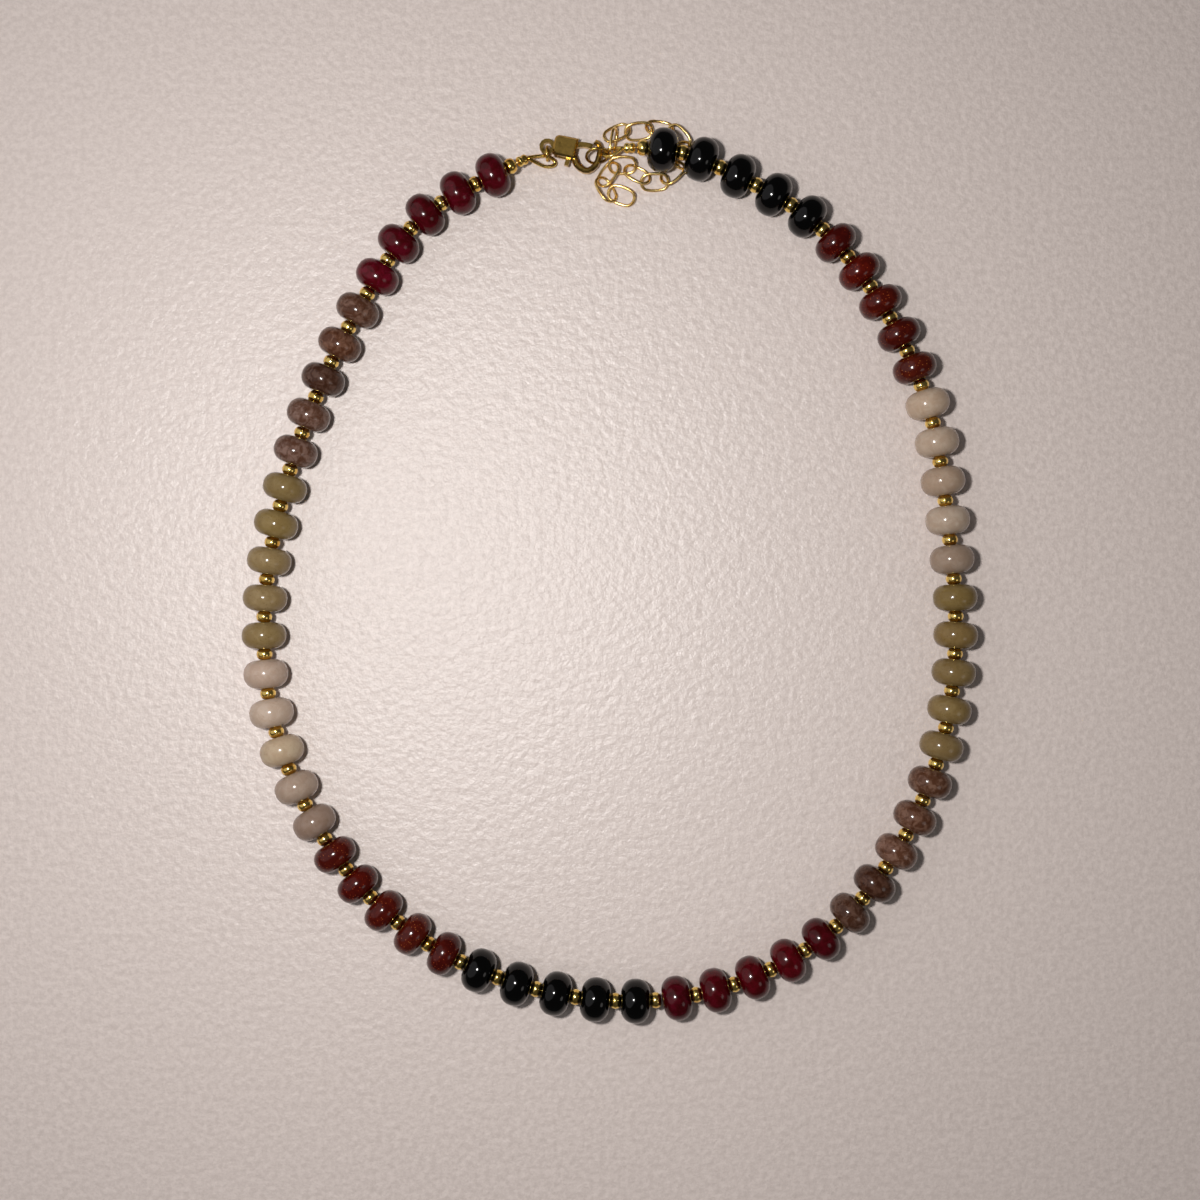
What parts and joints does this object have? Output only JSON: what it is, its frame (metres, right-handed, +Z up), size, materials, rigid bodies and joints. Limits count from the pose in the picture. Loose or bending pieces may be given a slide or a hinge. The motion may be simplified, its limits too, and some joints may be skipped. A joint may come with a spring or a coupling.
{
  "type": "beaded necklace",
  "caption": "Closed loop of polished stone rondelles in six colours with gold spacer beads, a lobster clasp and an extender chain, laid flat.",
  "frame": {"origin": "centre of the laid necklace's bounding box, on the surface that it lies on", "axes": "+Z up from the surface, +Y from the bottom of the loop to the clasp, +X to the right as seen from above"},
  "size_m": [0.1332, 0.1649, 0.008],
  "materials": {
    "stone": "polished",
    "gold": "bright gold plate"
  },
  "bodies": {
    "necklace": {"string_left": "stone", "string_right": "stone", "clasp_body": "gold", "ring_right": "gold", "ring_left": "gold", "crimp_left": "gold", "wire_loop_left": "gold", "crimp_right": "gold", "wire_loop_right": "gold", "extender_link_01": "gold", "extender_link_02": "gold", "extender_link_03": "gold", "extender_link_04": "gold", "extender_link_05": "gold", "extender_link_06": "gold", "extender_link_07": "gold", "extender_link_08": "gold", "extender_link_09": "gold", "extender_link_10": "gold", "extender_link_11": "gold", "extender_link_12": "gold", "extender_link_13": "gold"},
    "lever": {"clasp_lever": "gold"}
  },
  "joints": [
    {"name": "lever_hinge", "type": "hinge", "parent": "necklace", "child": "lever", "pos_m": [-0.00741, 0.07701, 0.0014], "axis": [0, 0, -1], "range_deg": [0, 25], "stiffness_Nm_per_rad": 0.0005}
  ]
}
